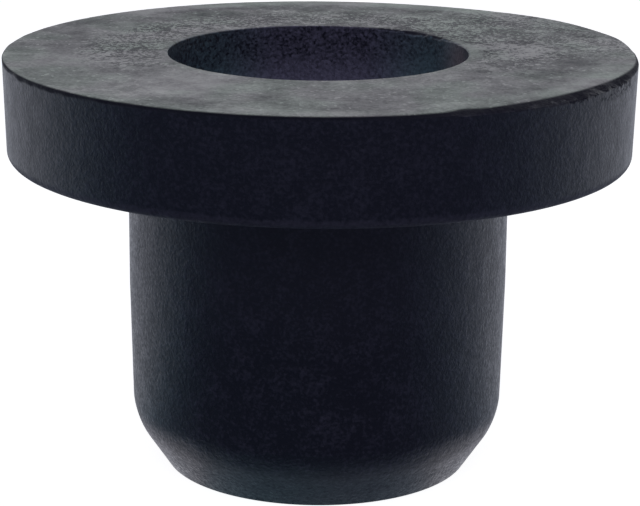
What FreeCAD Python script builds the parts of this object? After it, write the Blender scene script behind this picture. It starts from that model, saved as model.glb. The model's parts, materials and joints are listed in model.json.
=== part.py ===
# Top hat grommet: one moulded rubber bush that seals a barbed hose fitting in a drilled hole.
#
# The flange lies flat on the outside of the drilled wall and the sleeve goes through the hole.
# The fitting is pushed down the bore from the flange side, and presses the sleeve against the hole.
# The frame is +Z up along the bore, with the origin on the bore's axis in the plane of the seat,
# which is the flange's underside. Lengths are in millimetres, and angles in degrees.
import FreeCAD, Part
import enum
import math
import os
import Sketcher

SIZES = (
    ("bore_diameter", 15.1, "bore, straight through from the flange to the nose"),
    ("sleeve_wall", 2.1, "rubber between the bore and the parallel land of the sleeve"),
    ("land_length", 6.6, "parallel land below the seat, which the drilled wall grips"),
    ("lead_length", 6.95, "drafted stretch of the sleeve between the land and the bevel"),
    ("lead_draft", 1.2, "angle by which that stretch narrows towards the nose"),
    ("bevel_height", 2.55, "height of the bevel that starts the sleeve into its hole"),
    ("lip_width", 0.25, "flat ring that the bevel leaves around the bore at the nose"),
    ("bevel_blend", 3.5, "radius that blends the bevel into the sleeve"),
    ("flange_diameter", 31.75, "flange across its top face"),
    ("flange_thickness", 5.2, "flange from the seat to its top face"),
    ("flange_draft", 1.5, "angle by which the flange's rim narrows towards the seat"),
    ("top_edge_radius", 0.2, "rounding between the flange's rim and its top face"),
    ("seat_edge_radius", 0.5, "rounding between the flange's rim and the seat"),
    ("bore_edge_radius", 0.1, "rounding between the bore and the flange's top face"),
)

# Corners of half the section, as radius and height, in order round it. They are drawn roughly
# here, and the dimensions below then place them.
DRAWN_CORNERS = {
    "lip_inside": (8, -16),
    "lip_outside": (8.5, -16),
    "bevel_top": (9.5, -14),
    "land_end": (10, -7),
    "seat_inside": (10, 0),
    "seat_outside": (15, 0),
    "top_outside": (16, 5),
    "top_inside": (8, 5),
}

# Each line of the section is known by the corner that it starts from
LEVEL_LINES = ("lip_inside", "seat_inside", "top_outside")
UPRIGHT_LINES = ("land_end", "top_inside")
RADII = (
    ("bore_radius", "top_inside", "Sizes.bore_diameter / 2"),
    ("flange_radius", "top_outside", "Sizes.flange_diameter / 2"),
)
WIDTHS = (
    ("sleeve_wall", "top_inside", "seat_inside", "Sizes.sleeve_wall"),
    ("lip_width", "lip_inside", "lip_outside", "Sizes.lip_width"),
)
HEIGHTS = (
    ("land_length", "land_end", "seat_inside", "Sizes.land_length"),
    ("lead_length", "bevel_top", "land_end", "Sizes.lead_length"),
    ("bevel_height", "lip_outside", "bevel_top", "Sizes.bevel_height"),
    ("flange_thickness", "seat_outside", "top_outside", "Sizes.flange_thickness"),
)
SLOPES = (
    ("lead_slope", "bevel_top", "(90 - Sizes.lead_draft) * 1 deg"),
    ("rim_slope", "seat_outside", "(90 - Sizes.flange_draft) * 1 deg"),
)
ROUNDED_EDGES = (
    ("BevelBlend", "bevel_top", "Sizes.bevel_blend"),
    ("TopEdge", "top_outside", "Sizes.top_edge_radius"),
    ("SeatEdge", "seat_outside", "Sizes.seat_edge_radius"),
    ("BoreEdge", "top_inside", "Sizes.bore_edge_radius"),
)


class Ref(enum.IntEnum):
    """How a sketch numbers its level axis, which starts at its origin, and the ends of a line."""

    LEVEL_AXIS = -1
    START = 1
    END = 2


def add_sheet(doc):
    """Put the driving dimensions in a spreadsheet, one row each."""
    sheet = doc.addObject("Spreadsheet::Sheet", "Sizes")
    for row, (alias, value, meaning) in enumerate(SIZES, start=1):
        sheet.set(f"A{row}", alias)
        sheet.set(f"B{row}", str(value))
        sheet.setAlias(f"B{row}", alias)
        sheet.set(f"C{row}", meaning)
    doc.recompute()


def origin_plane(body, role):
    """Return the body's own origin plane of that role."""
    for feature in body.Origin.OriginFeatures:
        if feature.Role == role:
            return feature
    raise RuntimeError(f"{body.Label} has no {role}")


def draw_section(body):
    """Sketch half the section as a closed ring of lines, and number each line by its first corner."""
    sketch = body.newObject("Sketcher::SketchObject", "Section")
    sketch.AttachmentSupport = [(origin_plane(body, "XZ_Plane"), "")]
    sketch.MapMode = "FlatFace"
    corners = list(DRAWN_CORNERS)
    sides = list(zip(corners, corners[1:] + corners[:1]))
    line = {}
    for corner, following in sides:
        start = FreeCAD.Vector(*DRAWN_CORNERS[corner], 0)
        end = FreeCAD.Vector(*DRAWN_CORNERS[following], 0)
        line[corner] = sketch.addGeometry(Part.LineSegment(start, end), False)
    for corner, following in sides:
        joined = (line[corner], Ref.END, line[following], Ref.START)
        sketch.addConstraint(Sketcher.Constraint("Coincident", *joined))
    for corner in LEVEL_LINES:
        sketch.addConstraint(Sketcher.Constraint("Horizontal", line[corner]))
    for corner in UPRIGHT_LINES:
        sketch.addConstraint(Sketcher.Constraint("Vertical", line[corner]))
    seat = (line["seat_inside"], Ref.START, Ref.LEVEL_AXIS)
    sketch.addConstraint(Sketcher.Constraint("PointOnObject", *seat))
    return sketch, line


def drive(sketch, name, expression, *constraint):
    """Add a named dimension to the sketch and bind it to the spreadsheet."""
    number = sketch.addConstraint(Sketcher.Constraint(*constraint))
    sketch.renameConstraint(number, name)
    sketch.setExpression(f"Constraints.{name}", expression)


def dimension_section(sketch, line):
    """Size the section, which leaves it no freedom."""
    place = {corner: (number, Ref.START) for corner, number in line.items()}
    origin = (Ref.LEVEL_AXIS, Ref.START)
    for name, corner, expression in RADII:
        drawn = DRAWN_CORNERS[corner][0]
        drive(sketch, name, expression, "DistanceX", *origin, *place[corner], drawn)
    for name, first, second, expression in WIDTHS:
        drawn = DRAWN_CORNERS[second][0] - DRAWN_CORNERS[first][0]
        drive(sketch, name, expression, "DistanceX", *place[first], *place[second], drawn)
    for name, first, second, expression in HEIGHTS:
        drawn = DRAWN_CORNERS[second][1] - DRAWN_CORNERS[first][1]
        drive(sketch, name, expression, "DistanceY", *place[first], *place[second], drawn)
    for name, corner, expression in SLOPES:
        run = sketch.getPoint(line[corner], Ref.END) - sketch.getPoint(*place[corner])
        drive(sketch, name, expression, "Angle", line[corner], math.atan2(run.y, run.x))


def revolve(body, sketch):
    """Turn the section once round the bore's axis."""
    turned = body.newObject("PartDesign::Revolution", "TurnedSection")
    turned.Profile = sketch
    turned.ReferenceAxis = (sketch, ["V_Axis"])
    turned.Angle = 360
    return turned


def ring_at(feature, corner):
    """Name the round edge of the feature that one corner of the section swept."""
    near = 1e-4
    for number, edge in enumerate(feature.Shape.Edges, start=1):
        ring = edge.Curve
        if not isinstance(ring, Part.Circle):
            continue
        if abs(ring.Radius - corner.x) < near and abs(ring.Center.z - corner.y) < near:
            return f"Edge{number}"
    raise RuntimeError(f"no edge at radius {corner.x}, height {corner.y}")


def round_edge(body, base, name, corner, radius):
    """Round the edge that a corner of the section swept, by a radius from the spreadsheet."""
    fillet = body.newObject("PartDesign::Fillet", name)
    fillet.Base = (base, [ring_at(base, corner)])
    fillet.setExpression("Radius", radius)
    body.Document.recompute()
    return fillet


def make_grommet(doc):
    """Build the grommet as one body: a turned section and its rounded edges."""
    body = doc.addObject("PartDesign::Body", "Grommet")
    body.Label = "grommet"
    sketch, line = draw_section(body)
    dimension_section(sketch, line)
    feature = revolve(body, sketch)
    doc.recompute()
    for name, corner, radius in ROUNDED_EDGES:
        swept = sketch.getPoint(line[corner], Ref.START)
        feature = round_edge(body, feature, name, swept, radius)
    body.Placement = FreeCAD.Placement()
    doc.recompute()
    return body


def check(doc, bodies):
    """Stop if anything failed to build, a sketch can still move or a body isn't one solid."""
    for item in doc.Objects:
        if "Invalid" in item.State or "Error" in item.State:
            raise RuntimeError(f"{item.Label} failed: {item.State}")
        if item.TypeId == "Sketcher::SketchObject" and not item.FullyConstrained:
            raise RuntimeError(f"{item.Label} isn't fully dimensioned")
    for body in bodies:
        if body.Shape.isNull() or not body.Shape.isValid() or len(body.Shape.Solids) != 1:
            raise RuntimeError(f"{body.Label} isn't one valid solid")


def main():
    doc = FreeCAD.newDocument("top_hat_grommet")
    add_sheet(doc)
    bodies = [make_grommet(doc)]
    check(doc, bodies)
    os.makedirs("parts", exist_ok=True)
    for body in bodies:
        body.Shape.exportStep(f"parts/{body.Label}.step")


main()
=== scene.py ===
"""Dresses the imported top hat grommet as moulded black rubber, and sets it on a white stage."""

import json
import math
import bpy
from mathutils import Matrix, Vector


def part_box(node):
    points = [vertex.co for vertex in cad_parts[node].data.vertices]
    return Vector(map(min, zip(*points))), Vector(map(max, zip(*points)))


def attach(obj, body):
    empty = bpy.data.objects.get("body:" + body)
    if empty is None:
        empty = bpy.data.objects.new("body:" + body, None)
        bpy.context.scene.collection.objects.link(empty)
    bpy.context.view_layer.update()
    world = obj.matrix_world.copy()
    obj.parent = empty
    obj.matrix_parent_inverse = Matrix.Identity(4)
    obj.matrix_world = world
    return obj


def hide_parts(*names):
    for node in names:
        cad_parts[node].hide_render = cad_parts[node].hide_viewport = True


bl_info = {
    "name": "Top Hat Grommet",
    "version": (1, 0, 0),
    "blender": (4, 5, 0),
    "location": "3D View > Sidebar > Grommet",
    "description": "Models a moulded rubber top hat grommet and the white stage it stands on",
    "category": "Object",
}

import bmesh
import bpy
from bpy.props import FloatProperty, FloatVectorProperty, IntProperty, PointerProperty
from mathutils import Matrix, Vector, noise

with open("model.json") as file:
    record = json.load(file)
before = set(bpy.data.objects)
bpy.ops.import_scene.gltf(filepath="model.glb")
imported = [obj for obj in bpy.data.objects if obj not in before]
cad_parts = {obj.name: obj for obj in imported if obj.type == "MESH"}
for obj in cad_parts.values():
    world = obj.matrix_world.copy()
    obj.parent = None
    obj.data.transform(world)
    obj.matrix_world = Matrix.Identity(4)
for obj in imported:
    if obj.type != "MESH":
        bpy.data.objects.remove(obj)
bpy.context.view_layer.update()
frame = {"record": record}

MM = 0.001
MOUNTS = {mount["name"]: mount["dims"] for mount in frame["record"]["mounts"]}
BORE = MOUNTS["bore"]["r_mm"] * MM
LAND = MOUNTS["sleeve"]["r_mm"] * MM
LAND_END = -MOUNTS["sleeve"]["length_mm"] * MM
NOSE, TOP = (corner.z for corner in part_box("grommet"))
LIP = 0.25 * MM
RIM_SLOPE = math.tan(math.radians(1.5))
LEAD_SLOPE = math.tan(math.radians(1.2))
BEVEL_TOP = -13.55 * MM
BEVEL_RADIUS = LAND - (LAND_END - BEVEL_TOP) * LEAD_SLOPE

# Just inside the solid's rim, so that the piece stays inside the CAD box
RIM = 15.864 * MM

# Corners of half the section in order round it: radius, height, how far the rounding of the
# corner reaches along each side, and the flats in that rounding.
SECTION = (
    (BORE, NOSE, 0.0, 0),
    (BORE + LIP, NOSE, 0.04 * MM, 2),
    (BEVEL_RADIUS, BEVEL_TOP, 0.95 * MM, 8),
    (LAND, LAND_END, 0.0, 0),
    (LAND, 0.0, 0.0, 0),
    (RIM - TOP * RIM_SLOPE, 0.0, 0.5 * MM, 8),
    (RIM, TOP, 0.09 * MM, 3),
    (BORE, TOP, 0.05 * MM, 3),
)

# The mesh has its closest rings round the two edges that wear. Beyond that zone they spread out,
# up to a widest spacing.
WORN_EDGES = (Vector((RIM, 0, TOP)), Vector((BORE, 0, TOP)))
CLOSE_ZONE = 0.3 * MM
SPREAD = 0.3
WIDEST_ON_SLEEVE = 1.2 * MM
WIDEST_ON_FLANGE = 0.45 * MM
MERGED_WITHIN = 0.001 * MM
SHARP = math.radians(30)

# Places of the wear round the axis, in degrees: the middle of each and the width of its bump.
# The right is at 0, and the camera stands at -90.
WORN_RIM = (-42, 28)
RIM_NICK = (-65.5, 2.2)
TORN_BORE = (46, 22)
BORE_FRONT = (-90, 45)

# Wear ends within this distance of an edge. The bore's goes at least this many millimetres deep.
EDGE_ZONE = 1.2 * MM
LEAST_BORE_WEAR = 0.05

# The moulding isn't quite true. The rim has bulges: the height of each in millimetres, and then
# its middle and width as above. The bore and the sleeve are set to the left, the bore less so
# away from its wall, and the sleeve only outside of the bore and below the seat by a margin.
RIM_BULGES = ((0.41, 38, 17), (0.2, 16, 8))
BORE_SHIFT = 0.11 * MM
BORE_SHIFT_FADE = 2 * MM
SLEEVE_SHIFT = 0.045 * MM
SLEEVE_MARGIN = 0.1 * MM

# Spots of the top face, which is at this height for the shaders: the strength of each, its place
# to the right and rear of the axis, and its reach, in millimetres.
FACE = TOP / MM
ROUGH_SPOTS = ((1.0, 9.6, 8.4, 6.5), (0.6, 13.8, 2.0, 5.0))
LIGHT_SPOTS = (
    (0.50, -5.8, -9.2, 4.5),
    (0.42, -12.8, -3.0, 4.5),
    (1.10, 9.7, 0.4, 3.4),
    (0.25, 5.6, -9.4, 4.0),
)
DARK_SPOTS = (
    (0.30, 11.4, -3.0, 5.0),
    (0.15, 10.4, 5.2, 5.0),
    (0.25, -1.0, 12.0, 9.0),
    (0.25, 0.0, 8.5, 3.5),
    (0.18, 6.8, 11.0, 4.0),
    (0.18, 10.6, 7.0, 3.5),
)
WARM_SPOT = (1.0, 11.4, -2.0, 5.0)
FRAYED_SPOT = (1.0, 4.9, 6.4, 4.2)
THINNEST_BLOOM = 0.12

# Lengths of the stage, in metres. The floor reaches this far on each side, and the lamp hangs
# this far in front of the object and above its seat.
FLOOR_REACH = 3.0
LAMP_ACROSS = 0.25
LAMP_FORWARD = 0.19
LAMP_HEIGHT = 0.20
NEAREST_SEEN = 0.01

WHITE = (1, 1, 1)
FLOOR_WHITE = 0.93

# The room turns from dim to white in this direction: rearwards, and more so downwards
ROOM_BRIGHTENS = (0, 1, -1.2)

# Tints of the floor as the rubber mirrors it, for each side of the object and close to it
LEFT_GLOW = (0.24, 0.80, 1.06)
RIGHT_GLOW = (0.38, 0.68, 0.96)
REAR_GLOW = (0.93, 0.97, 1.06)
CLOSE_GLOW = (0.97, 0.97, 1.06)


class Value:
    """A socket in a shader's nodes. Arithmetic on it adds Math nodes."""

    def __init__(self, graph, socket):
        self.graph = graph
        self.socket = socket

    def math(self, operation, *others):
        inputs = dict(enumerate((self, *others)))
        return self.graph.add("ShaderNodeMath", {"operation": operation}, inputs)

    def __add__(self, other):
        return self.math("ADD", other)

    def __sub__(self, other):
        return self.math("SUBTRACT", other)

    def __mul__(self, other):
        return self.math("MULTIPLY", other)

    def __truediv__(self, other):
        return self.math("DIVIDE", other)

    def __rsub__(self, other):
        return (self * -1) + other

    __radd__ = __add__
    __rmul__ = __mul__


class Graph:
    """The node tree of a material or a world, emptied and ready to be written."""

    def __init__(self, owner):
        owner.use_nodes = True
        self.tree = owner.node_tree
        self.tree.nodes.clear()

    def add(self, kind, settings=None, inputs=None, output=0):
        """Add a node: its settings first, then the values or links of its sockets."""
        node = self.tree.nodes.new(kind)
        for name, setting in (settings or {}).items():
            setattr(node, name, setting)
        for key, given in (inputs or {}).items():
            if isinstance(given, Value):
                self.tree.links.new(given.socket, node.inputs[key])
            else:
                node.inputs[key].default_value = given
        return Value(self, node.outputs[output]) if node.outputs else None

    def vector(self, operation, *inputs, output=0, **named):
        """Add a Vector Math node. Its inputs are given in order, or by name."""
        sockets = {**dict(enumerate(inputs)), **named}
        return self.add("ShaderNodeVectorMath", {"operation": operation}, sockets, output)

    def part(self, vector, axis):
        """One part of a vector: its X, Y or Z."""
        return self.add("ShaderNodeSeparateXYZ", None, {0: vector}, output=axis)

    def mix(self, factor, *colours):
        """Blend two colours. One that isn't a socket is given as red, green and blue."""
        first, second = (c if isinstance(c, Value) else (*c, 1) for c in colours)
        sockets = {0: factor, 6: first, 7: second}
        return self.add("ShaderNodeMix", {"data_type": "RGBA"}, sockets, output=2)

    def ease(self, value, low, high):
        """0 below low and 1 above high, with a smooth step between them."""
        inputs = {"Value": value, "From Min": low, "From Max": high}
        return self.add("ShaderNodeMapRange", {"interpolation_type": "SMOOTHSTEP"}, inputs)

    def grain(self, place, scale, detail=2.0, roughness=0.5):
        """Noise about 0, with its features 1 / scale of place's unit across."""
        inputs = {"Vector": place, "Scale": scale, "Detail": detail, "Roughness": roughness}
        return self.add("ShaderNodeTexNoise", None, inputs) - 0.5

    def grit(self, place, scale):
        """Cells 1 / scale of place's unit across, each with a value of its own within 0.5 of 0."""
        inputs = {"Vector": place, "Scale": scale}
        cells = self.add("ShaderNodeTexVoronoi", None, inputs, output="Color")
        return self.part(cells, "X") - 0.5

    def near(self, place, centre, reach):
        """1 at the centre, falling smoothly to 0 at that distance from it."""
        away = self.vector("DISTANCE", place, centre, output="Value")
        return 1 - self.ease(away, 0.0, reach)

    def ray(self, kind):
        """1 for a ray of that kind, and 0 for any other."""
        return self.add("ShaderNodeLightPath", output=f"Is {kind} Ray")

    def looked_at(self):
        """1 where the camera looks, also through something clear."""
        return self.ray("Camera").math("MAXIMUM", self.ray("Transmission"))


def shade(name, description, default):
    """A colour that the user can change."""
    return FloatVectorProperty(
        name=name, description=description, subtype="COLOR", size=3, default=default
    )


class GrommetRubber(bpy.types.PropertyGroup):
    """Mesh, colours and gloss of the rubber."""

    steps: IntProperty(
        name="Steps",
        description="Faces in a quarter of the way round the axis",
        default=134,
        min=12,
        max=160,
    )
    fine_spacing: FloatProperty(
        name="Edge spacing",
        description="Distance between rings of the mesh next to a worn edge",
        default=0.08 * MM,
        unit="LENGTH",
        precision=6,
    )
    black: shade("Rubber", "Colour of the rubber", (0.0062, 0.0063, 0.0140))
    bloom: shade(
        "Bloom", "Colour of the grey bloom on the flange's top face", (0.348, 0.402, 0.340)
    )
    warm_bloom: shade("Warm bloom", "Colour of the bloom's warmer clouds", (0.362, 0.354, 0.343))
    # The powder's colour is also used for the painted light under the flange, along its lower edge
    # and deep in the bore.
    powder: shade("Powder", "Colour of the release powder in the bore", (0.165, 0.157, 0.250))
    side_powder: shade(
        "Side powder", "Colour of the powder on the bore's left and right", (0.117, 0.190, 0.230)
    )
    end_powder: shade(
        "End powder", "Colour of the powder at the bore's far right", (0.240, 0.200, 0.215)
    )
    # Painted reflection: the bevel's lighter colour stands in for the pale floor that it faces and
    # mirrors.
    bevel: shade("Bevel", "Colour of the nose's lighter bevel", (0.0168, 0.0255, 0.0355))
    # Painted shade: the darker colour of the band along the flange's top edge, which lies in
    # shade, deepest where the edge is worn at the front right.
    worn: shade("Worn edge", "Colour of the flange's worn top edge", (0.0035, 0.0037, 0.0095))
    roughness: FloatProperty(
        name="Roughness",
        description="Roughness of the moulded skin",
        default=0.4,
        subtype="FACTOR",
    )


class GrommetStage(bpy.types.PropertyGroup):
    """Camera, floor and light."""

    camera_place: FloatVectorProperty(
        name="Camera",
        description="Place of the camera",
        subtype="TRANSLATION",
        unit="LENGTH",
        size=3,
        default=(0.0, -112.90 * MM, 25.75 * MM),
    )
    camera_pitch: FloatProperty(
        name="Pitch",
        description="How far the camera looks below the horizon",
        subtype="ANGLE",
        default=math.radians(15.383),
    )
    camera_turn: FloatProperty(
        name="Turn",
        description="How far the camera looks to its right",
        subtype="ANGLE",
        default=0.00061,
    )
    camera_roll: FloatProperty(
        name="Roll",
        description="How far the camera leans to its left",
        subtype="ANGLE",
        default=0.00865,
    )
    focal_length: FloatProperty(
        name="Focal length",
        description="Focal length of the lens, in millimetres",
        default=128.06,
    )
    floor: shade("Floor", "Colour of the floor", (0.40, 0.40, 0.40))
    mirrored_floor: shade(
        "Mirrored floor", "Colour of the floor in the rubber's reflections", (0.15, 0.16, 0.24)
    )
    dim: shade("Front", "Colour of the dim room on the camera's side", (0.155, 0.155, 0.215))
    bright: shade("Back", "Colour of the white sweep behind the object", (0.82, 0.85, 0.87))
    lamp: FloatProperty(
        name="Lamp",
        description="Power of the soft lamp overhead",
        subtype="POWER",
        default=0.24,
    )


def ring_spacing(place, fine):
    """Distance wanted between rings at that place in the section."""
    away = min((place - edge).length for edge in WORN_EDGES)
    widest = WIDEST_ON_SLEEVE if place.z < 0 else WIDEST_ON_FLANGE
    return min(fine + SPREAD * max(0.0, away - CLOSE_ZONE), widest)


def draw_section(mesh, fine):
    """Draw half the section as a ring of edges, round its corners and divide its sides."""
    corners = [mesh.verts.new((radius, 0, height)) for radius, height, _, _ in SECTION]
    for ends in zip(corners, corners[1:] + corners[:1]):
        mesh.edges.new(ends)
    for corner, (_, _, reach, flats) in zip(corners, SECTION):
        if flats:
            bmesh.ops.bevel(
                mesh,
                geom=[corner],
                affect="VERTICES",
                offset_type="OFFSET",
                offset=reach,
                segments=flats,
                profile=0.5,
                material=-1,
            )
    while True:
        middles = {edge: (edge.verts[0].co + edge.verts[1].co) / 2 for edge in mesh.edges}
        long = [e for e, middle in middles.items() if e.calc_length() > ring_spacing(middle, fine)]
        if not long:
            return
        bmesh.ops.subdivide_edges(mesh, edges=long, cuts=1)


def turn(mesh, steps):
    """Spin the section a quarter of the way round, and mirror that into the whole."""
    bmesh.ops.spin(
        mesh,
        geom=mesh.verts[:] + mesh.edges[:],
        axis=(0, 0, 1),
        cent=(0, 0, 0),
        angle=math.pi / 2,
        steps=steps,
    )
    for axis in "XY":
        drawn = mesh.verts[:] + mesh.edges[:] + mesh.faces[:]
        bmesh.ops.mirror(mesh, geom=drawn, axis=axis, merge_dist=MERGED_WITHIN)


def azimuth(place):
    """Where a place is round the axis, in degrees."""
    return math.degrees(math.atan2(place.y, place.x))


def bump_at(angle, centre, width):
    """A smooth bump round the axis, 1 at that azimuth. Angles are in degrees."""
    away = (angle - centre + 180) % 360 - 180
    return math.exp(-((away / width) ** 2))


def waver(angle, fineness, seed):
    """Noise round the axis, about 0 and within 1."""
    turned = math.radians(angle)
    return noise.noise(Vector((math.cos(turned) * fineness, math.sin(turned) * fineness, seed)))


def rim_wear(angle):
    """How far the worn top edge of the flange reaches inwards and downwards."""
    worn = bump_at(angle, *WORN_RIM)
    nick = bump_at(angle, *RIM_NICK)
    inwards = 0.07 + 0.68 * worn + 0.4 * nick + 0.05 * waver(angle, 9, 1.0)
    downwards = 0.09 + 0.17 * worn + 0.06 * nick + 0.03 * waver(angle, 14, 2.0)
    return inwards * MM, downwards * MM


def bore_wear(angle):
    """How far the worn edge of the bore reaches outwards and downwards."""
    torn = bump_at(angle, *TORN_BORE)
    ragged = torn * (0.20 * waver(angle, 7, 3.0) + 0.18 * waver(angle, 24, 4.0))
    reach = LEAST_BORE_WEAR + 0.14 * torn + ragged + 0.10 * bump_at(angle, *BORE_FRONT)
    return max(LEAST_BORE_WEAR, reach) * MM, max(LEAST_BORE_WEAR, reach * 0.8) * MM


def round_off(inset, drop, across, down, squareness=1.15):
    """Move a point near a square corner onto the curve that rounds it off."""
    if inset >= across or drop >= down:
        return inset, drop
    x, y = (across - inset) / across, (down - drop) / down
    length = (x**squareness + y**squareness) ** (1 / squareness)
    if length <= 1:
        return inset, drop
    return across * (1 - x / length), down * (1 - y / length)


def wear(mesh):
    """Round off the flange's top edge and the bore's, by as much as each is worn there."""
    for vert in mesh.verts:
        radius = vert.co.xy.length
        angle = azimuth(vert.co)
        drop = TOP - vert.co.z
        if drop > EDGE_ZONE:
            continue
        if radius > RIM - EDGE_ZONE:
            edge = RIM - drop * RIM_SLOPE
            inset, drop = round_off(edge - radius, drop, *rim_wear(angle))
            worn = edge - inset
        elif radius < BORE + EDGE_ZONE:
            inset, drop = round_off(radius - BORE, drop, *bore_wear(angle))
            worn = BORE + inset
        else:
            continue
        vert.co.xy *= worn / radius
        vert.co.z = TOP - drop


def warp(mesh):
    """Set the sleeve and the bore a little aside, and pull the rim out at the rear right."""
    for vert in mesh.verts:
        radius = vert.co.xy.length
        if vert.co.z < -SLEEVE_MARGIN and radius > BORE + SLEEVE_MARGIN:
            vert.co.x -= SLEEVE_SHIFT
            continue
        angle = azimuth(vert.co)
        out = sum(height * bump_at(angle, *bulge) for height, *bulge in RIM_BULGES)
        share = max(0.0, (radius - LAND) / (RIM - LAND))
        vert.co.xy *= 1 + out * MM * share / radius
        vert.co.x -= BORE_SHIFT * max(0.0, min(1.0, 1 - (radius - BORE) / BORE_SHIFT_FADE))


def finish_piece(mesh, name, material):
    """Make a shown piece of the mesh, smooth but for its sharp corners."""
    for face in mesh.faces:
        face.smooth = True
    for edge in mesh.edges:
        edge.smooth = edge.calc_face_angle(0.0) < SHARP
    data = bpy.data.meshes.new(name)
    mesh.to_mesh(data)
    mesh.free()
    data.materials.append(material)
    piece = bpy.data.objects.new(name, data)
    bpy.context.scene.collection.objects.link(piece)
    return piece


class Skin:
    """The places, masks and grains that the rubber's colour, relief and gloss are made of.

    Places are in millimetres. A mask is 1 on its feature and 0 elsewhere, and a grain varies
    about 0.
    """

    def __init__(self, graph):
        self.graph = graph
        texture = graph.add("ShaderNodeTexCoord", output="Object")
        self.place = graph.vector("SCALE", texture, Scale=1 / MM)
        self.flat = graph.vector("MULTIPLY", self.place, (1, 1, 0))
        self.height = graph.part(self.place, "Z")
        self.radius = graph.vector("LENGTH", self.flat, output="Value")
        self.rearward = graph.part(self.flat, "Y") / self.radius
        bore_axis = (-BORE_SHIFT / MM, 0, 0)
        self.from_bore = graph.vector("DISTANCE", self.flat, bore_axis, output="Value")

        self.top = graph.ease(self.height, FACE - 0.06, FACE - 0.005)
        self.inside = 1 - graph.ease(self.from_bore, BORE / MM + 0.02, BORE / MM + 0.12)
        self.bevel = 1 - graph.ease(self.height, -15.0, -14.1)
        self.flange = graph.ease(self.height, -0.2, 0.0)
        # Band along the flange's lower edge, given a painted highlight that stands in for the
        # floor's reflection, and a duller gloss.
        self.hem_highlight = graph.ease(self.height, -0.05, 0.05) * (1 - graph.ease(self.height, 0.25, 0.6))

        self.clouds = graph.grain(self.place, 0.3, 3, 0.5)
        self.mottle = graph.grain(self.place, 0.9, 4, 0.6)
        self.sand = graph.grain(self.place, 5.5, 2, 0.6)
        self.rubble = graph.grain(self.place, 3.8, 5, 0.8)
        self.grit = graph.grit(graph.vector("MULTIPLY", self.place, (1.2, 0.8, 1.2)), 6.8)

        self.pitted = self.pitting()
        self.worn = self.painted_edge_shade()
        self.scuffed = self.scuffs()

    def spot(self, strength, rightwards, rearwards, reach):
        """A smooth spot of the top face."""
        return strength * self.graph.near(self.place, (rightwards, rearwards, FACE), reach)

    def spots(self, spots):
        """Spots of the top face added up."""
        first, *others = (self.spot(*spot) for spot in spots)
        return sum(others, first)

    def pitting(self):
        """Mask of the rough places: the bore's collar except at the front, and the rear right."""
        ease = self.graph.ease
        collar = ease(self.radius, 7.7, 8.7) * (1 - ease(self.radius, 10.2, 12.6))
        patches = collar * ease(self.rearward, -0.65, 0.1) + self.spots(ROUGH_SPOTS)
        broken = ease(self.graph.grain(self.place, 0.7, 3), -0.12, 0.10)
        return patches.math("MINIMUM", 1.0) * (0.35 + 0.65 * broken)

    def painted_edge_shade(self):
        """Mask of the painted shade along the rim's top edge, which is deepest at the front right,
        where the edge is worn.
        """
        ease, near = self.graph.ease, self.graph.near
        right = 0.10 + self.mottle * 0.9 + self.grit * 0.16
        left = 0.06 + self.mottle * 0.5
        lowered = (
            self.height
            + right * near(self.flat, (11.7, -10.6, 0), 9.0)
            + left * near(self.flat, (-13.5, -8.0, 0), 9.0)
        )
        edge = ease(lowered, FACE - 0.24, FACE - 0.08) * (1 - self.top) * (1 - self.inside)
        return edge * (0.7 + self.mottle * 1.5 + self.sand * 1.5)

    def scuffs(self):
        """Mask of the scuffs below the worn edge, at the right."""
        ease = self.graph.ease
        zone = self.graph.near(self.place, (13.9, -7.2, 4.9), 5.0)
        zone = zone * ease(self.height, 4.3, 4.7) * (1 - self.top)
        return zone * ease(self.grit + self.mottle * 2.0, 0.05, 0.35)

    def margin(self):
        """Lighter bands along the rim: at the right, at the front and at the rear."""
        ease, near = self.graph.ease, self.graph.near
        right = ease(self.radius, 13.6, 14.6) * near(self.flat, (12.5, -7.2, 0), 10.0)
        front = ease(self.radius, 14.3, 15.2) * near(self.flat, (0, -15.6, 0), 9.0)
        rear = ease(self.radius, 13.8, 15.0) * ease(self.rearward, 0.6, 0.95)
        return 0.40 * (right + 0.7 * front) + 0.55 * rear

    def bloom_cover(self):
        """How thick the bloom lies: in clouds, speckled in the pits, frayed beside the bore."""
        ease = self.graph.ease
        cover = (
            0.46
            + self.clouds * (0.5 + 1.9 * self.pitted)
            + self.mottle * (0.45 + 3.4 * self.pitted)
            + self.sand * 0.45
            + self.rubble * self.pitted * 11.5
            + self.grit * (0.2 + 2.9 * self.pitted)
            - self.pitted * 0.10
            + self.spots(LIGHT_SPOTS)
            + self.margin()
            - self.spots(DARK_SPOTS)
        ).math("MAXIMUM", THINNEST_BLOOM)
        frayed = (1 - ease(self.from_bore + self.grit * 0.6, 7.9, 8.15)) * self.spot(*FRAYED_SPOT)
        specks = ease(self.grit + self.mottle * 0.2, 0.46, 0.50)
        return self.top * (cover - frayed * 0.6 + specks * 0.5)

    def bloom_colour(self, rubber):
        """Greenish grey, and warmer in clouds and at the right."""
        patches = self.graph.ease(self.graph.grain(self.place, 0.21, 2), -0.10, 0.10)
        warmth = patches + self.spot(*WARM_SPOT)
        return self.graph.mix(warmth, rubber.bloom, rubber.warm_bloom)

    def powder_and_depth_light(self):
        """How much the bore is lightened: by powder, more at the far right, and by painted light
        that grows towards the seat, deeper in the bore's shade.
        """
        near = self.graph.near
        cover = (
            0.20
            # Painted light: more of the pale colour deeper in the bore, towards the seat, where
            # less light reaches the wall.
            + 0.75 * self.graph.ease(self.height, 4.4, 0.9)
            + 0.6 * near(self.place, (7.1, 2.5, 4.3), 2.8)
            + 0.25 * near(self.place, (5.4, 5.2, 2.8), 4.0)
        )
        return self.inside * (cover + self.mottle * 0.2 + self.sand * 0.75 + self.grit * 0.35)

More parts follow.
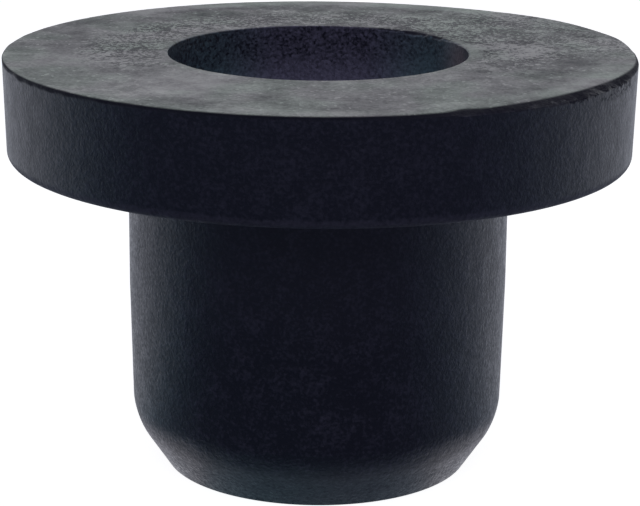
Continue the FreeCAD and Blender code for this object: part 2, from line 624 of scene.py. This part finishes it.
    def powder_colour(self, rubber):
        """Violet in the middle, bluer on the left and right, and reddish at the far right."""
        graph = self.graph
        sideways = graph.part(self.place, "X").math("ABSOLUTE")
        powder = graph.mix(graph.ease(sideways, 2.0, 6.0), rubber.powder, rubber.side_powder)
        return graph.mix(graph.near(self.place, (7.3, 2.0, 4.0), 3.0), powder, rubber.end_powder)

    def colour(self, rubber):
        """Black rubber with a sprinkling of powder, and then bloom, powder and wear over it, with
        painted light: a highlight along the flange's lower edge, a fill below the flange, light
        deep in the bore, a floor reflection on the bevel and shade along the rim's top edge.
        """
        graph = self.graph
        sprinkled = (
            0.02
            + self.mottle * (0.27 - 0.12 * self.flange)
            + self.sand * (0.45 - 0.15 * self.flange)
            # Painted highlight along the flange's lower edge, standing in for the floor's
            # reflection
            + self.hem_highlight * 0.15
        )
        colour = graph.mix(sprinkled, rubber.black, rubber.powder)
        # Painted light: the sleeve is lightened below the flange, most just under it, where the
        # flange's shade falls.
        painted_fill_under_flange = graph.ease(self.height, -9.0, -1.0) * (1 - graph.ease(self.height, -0.3, 0.0))
        colour = graph.mix(painted_fill_under_flange * 0.07, colour, rubber.powder)
        colour = graph.mix(self.bloom_cover(), colour, self.bloom_colour(rubber))
        colour = graph.mix(self.powder_and_depth_light(), colour, self.powder_colour(rubber))
        # Painted reflection of the pale floor on the downward-facing bevel, stronger at the front
        # left and broken up by the grit.
        painted_bevel_reflection = 0.72 + 0.25 * graph.near(self.place, (-6.4, -5.5, -15.0), 4.0) + self.grit * 0.9
        colour = graph.mix(self.bevel * painted_bevel_reflection, colour, rubber.bevel)
        # The rim's top edge gets the darker colour as painted shade, and the scuffs get it too.
        dark = (self.worn * 0.8).math("MAXIMUM", self.scuffed)
        return graph.mix(dark, colour, rubber.worn)

    def roughness(self, rubber):
        """Glossier on the crests of the grain, and duller on the rim's top edge, the scuffs and
        where the rubber is bloomed.
        """
        glossier = (
            self.sand * (0.22 + 0.5 * self.bevel)
            + self.mottle * (0.2 + 0.2 * self.top)
            + self.grit * (1 - self.flange) * 0.14
        )
        duller = (
            self.worn * 0.55
            + self.scuffed * 0.4
            + self.hem_highlight * 0.25
            + self.top * (0.10 - self.clouds * 0.36)
        )
        return rubber.roughness - glossier + duller

    def relief(self):
        """The moulded grain, which is fainter on the top face but for its rough places."""
        height = (
            self.sand * (0.03 - 0.02 * self.top)
            + self.mottle * (0.06 - 0.04 * self.top)
            + self.rubble * self.top * self.pitted * 0.06
        )
        inputs = {"Height": height, "Distance": MM, "Strength": 1.0}
        return self.graph.add("ShaderNodeBump", None, inputs)


def rubber_material(rubber):
    """Matte black rubber: a fine moulded grain, with a grey bloom and rough patches on top."""
    material = bpy.data.materials.new("moulded_rubber")
    graph = Graph(material)
    skin = Skin(graph)
    inputs = {
        "Base Color": skin.colour(rubber),
        "Roughness": skin.roughness(rubber),
        "Normal": skin.relief(),
        "IOR": 1.5,
    }
    shader = graph.add("ShaderNodeBsdfPrincipled", None, inputs)
    graph.add("ShaderNodeOutputMaterial", None, {"Surface": shader})
    return material


class GROMMET_OT_rubber(bpy.types.Operator):
    """Model the grommet as one turned moulding of worn black rubber"""

    bl_idname = "grommet.rubber"
    bl_label = "Grommet"

    def execute(self, context):
        rubber = context.scene.grommet_rubber
        mesh = bmesh.new()
        draw_section(mesh, rubber.fine_spacing)
        turn(mesh, rubber.steps)
        wear(mesh)
        warp(mesh)
        bmesh.ops.recalc_face_normals(mesh, faces=mesh.faces)
        piece = finish_piece(mesh, "rubber_grommet", rubber_material(rubber))
        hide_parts("grommet")
        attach(piece, "root")
        return {"FINISHED"}


def light_world(stage):
    """White behind the object and dim on the camera's side. The camera itself sees plain white."""
    world = bpy.data.worlds.new("studio")
    bpy.context.scene.world = world
    graph = Graph(world)
    direction = graph.add("ShaderNodeTexCoord", output="Generated")
    rearward = graph.vector("DOT_PRODUCT", direction, ROOM_BRIGHTENS, output="Value")
    room = graph.mix(graph.ease(rearward, -0.30, 0.60), stage.dim, stage.bright)
    colour = graph.mix(graph.looked_at(), room, WHITE)
    background = graph.add("ShaderNodeBackground", None, {"Color": colour})
    graph.add("ShaderNodeOutputWorld", None, {"Surface": background})


def floor_glow(graph):
    """Light from the floor: white for the camera, and a studio's reflections for the rubber.

    What the rubber mirrors depends on where the floor lies. It is bright behind the object and
    close to it, and dim elsewhere.
    """
    texture = graph.add("ShaderNodeTexCoord", output="Object")
    flat = graph.vector("MULTIPLY", texture, (1 / MM, 1 / MM, 0))
    away = graph.vector("LENGTH", flat, output="Value")
    outwards = graph.vector("NORMALIZE", flat)
    rightward = graph.part(outwards, "X")
    rearward = graph.part(outwards, "Y")

    right = graph.ease(rightward, -0.3, 0.9)
    behind = graph.ease(rearward, -0.54 - 0.26 * right, 0.43 + 0.15 * right)
    reach = 12.5 + 2.5 * graph.ease(rearward, -0.85, -0.5)
    close = (1 - graph.ease(away, 9.5, reach)) * (0.50 + 0.80 * graph.ease(rearward, -0.98, -0.4))
    straight_behind = graph.ease(rearward, 0.70, 0.92)
    straight_behind = straight_behind * (0.11 + 0.17 * graph.ease(away, 20.0, 40.0))
    shown = behind.math("MAXIMUM", close) * 0.64 + straight_behind + 0.034

    white = graph.looked_at() * FLOOR_WHITE
    tint = graph.mix(graph.ease(rightward, -0.3, 0.3), LEFT_GLOW, RIGHT_GLOW)
    tint = graph.mix(behind, tint, REAR_GLOW)
    tint = graph.mix(close, tint, CLOSE_GLOW)
    tint = graph.mix(white, tint, WHITE)
    return graph.vector("SCALE", tint, Scale=white + graph.ray("Glossy") * shown)


def floor_material(stage):
    """Pale floor that keeps the object's soft shadow, and is clear from below."""
    material = bpy.data.materials.new("pale_floor")
    graph = Graph(material)
    inputs = {
        "Base Color": graph.mix(graph.ray("Glossy"), stage.floor, stage.mirrored_floor),
        "Roughness": 1.0,
        "Specular IOR Level": 0.0,
        "Emission Color": floor_glow(graph),
        "Emission Strength": 1.0,
    }
    lit = graph.add("ShaderNodeBsdfPrincipled", None, inputs)
    clear = graph.add("ShaderNodeBsdfTransparent")
    under = graph.add("ShaderNodeNewGeometry", output="Backfacing")
    both = graph.add("ShaderNodeMixShader", None, {0: under, 1: lit, 2: clear})
    graph.add("ShaderNodeOutputMaterial", None, {"Surface": both})
    return material


def lay_floor(stage):
    """Lay the floor under the nose, which the grommet stands on."""
    mesh = bmesh.new()
    bmesh.ops.create_grid(mesh, x_segments=1, y_segments=1, size=FLOOR_REACH)
    bmesh.ops.translate(mesh, verts=mesh.verts, vec=(0, 0, NOSE))
    data = bpy.data.meshes.new("floor")
    mesh.to_mesh(data)
    mesh.free()
    data.materials.append(floor_material(stage))
    floor = bpy.data.objects.new("floor", data)
    bpy.context.scene.collection.objects.link(floor)


def hang_lamp(stage):
    """Hang a soft round lamp behind and above the camera. The rubber doesn't mirror it."""
    lamp = bpy.data.lights.new("soft_lamp", "AREA")
    lamp.shape = "DISK"
    lamp.size = LAMP_ACROSS
    lamp.energy = stage.lamp
    hung = bpy.data.objects.new("soft_lamp", lamp)
    hung.location = (0, -LAMP_FORWARD, LAMP_HEIGHT)
    hung.rotation_euler = (math.atan2(LAMP_FORWARD, LAMP_HEIGHT), 0, 0)
    hung.visible_glossy = False
    bpy.context.scene.collection.objects.link(hung)


def stand_camera(stage):
    """Stand the camera in front of the object, a little above it."""
    lens = bpy.data.cameras.new("camera")
    lens.lens = stage.focal_length
    lens.clip_start = NEAREST_SEEN
    camera = bpy.data.objects.new("camera", lens)
    tilt = Matrix.Rotation(math.pi / 2 - stage.camera_pitch, 4, "X")
    roll = Matrix.Rotation(stage.camera_roll, 4, "Z")
    turned = Matrix.Rotation(-stage.camera_turn, 4, "Z")
    camera.matrix_world = Matrix.Translation(stage.camera_place) @ turned @ tilt @ roll
    bpy.context.scene.collection.objects.link(camera)
    bpy.context.scene.camera = camera


class GROMMET_OT_stage(bpy.types.Operator):
    """Stand the camera, and light the grommet on a white floor"""

    bl_idname = "grommet.stage"
    bl_label = "Stage"

    def execute(self, context):
        stage = context.scene.grommet_stage
        context.scene.view_settings.view_transform = "Standard"
        stand_camera(stage)
        lay_floor(stage)
        hang_lamp(stage)
        light_world(stage)
        return {"FINISHED"}


class GROMMET_PT_sidebar(bpy.types.Panel):
    """Lists the grommet and its stage, with what can be changed about each"""

    bl_idname = "GROMMET_PT_sidebar"
    bl_label = "Top Hat Grommet"
    bl_space_type = "VIEW_3D"
    bl_region_type = "UI"
    bl_category = "Grommet"

    def draw(self, context):
        for group, operator in (
            (context.scene.grommet_rubber, GROMMET_OT_rubber),
            (context.scene.grommet_stage, GROMMET_OT_stage),
        ):
            box = self.layout.box()
            for name in group.__annotations__:
                box.prop(group, name)
            box.operator(operator.bl_idname)


CLASSES = (
    GrommetRubber,
    GrommetStage,
    GROMMET_OT_rubber,
    GROMMET_OT_stage,
    GROMMET_PT_sidebar,
)


def register():
    for cls in CLASSES:
        bpy.utils.register_class(cls)
    bpy.types.Scene.grommet_rubber = PointerProperty(type=GrommetRubber)
    bpy.types.Scene.grommet_stage = PointerProperty(type=GrommetStage)


def unregister():
    del bpy.types.Scene.grommet_stage
    del bpy.types.Scene.grommet_rubber
    for cls in reversed(CLASSES):
        bpy.utils.unregister_class(cls)


def main():
    register()
    bpy.ops.grommet.rubber()
    bpy.ops.grommet.stage()


if __name__ == "__main__":
    main()
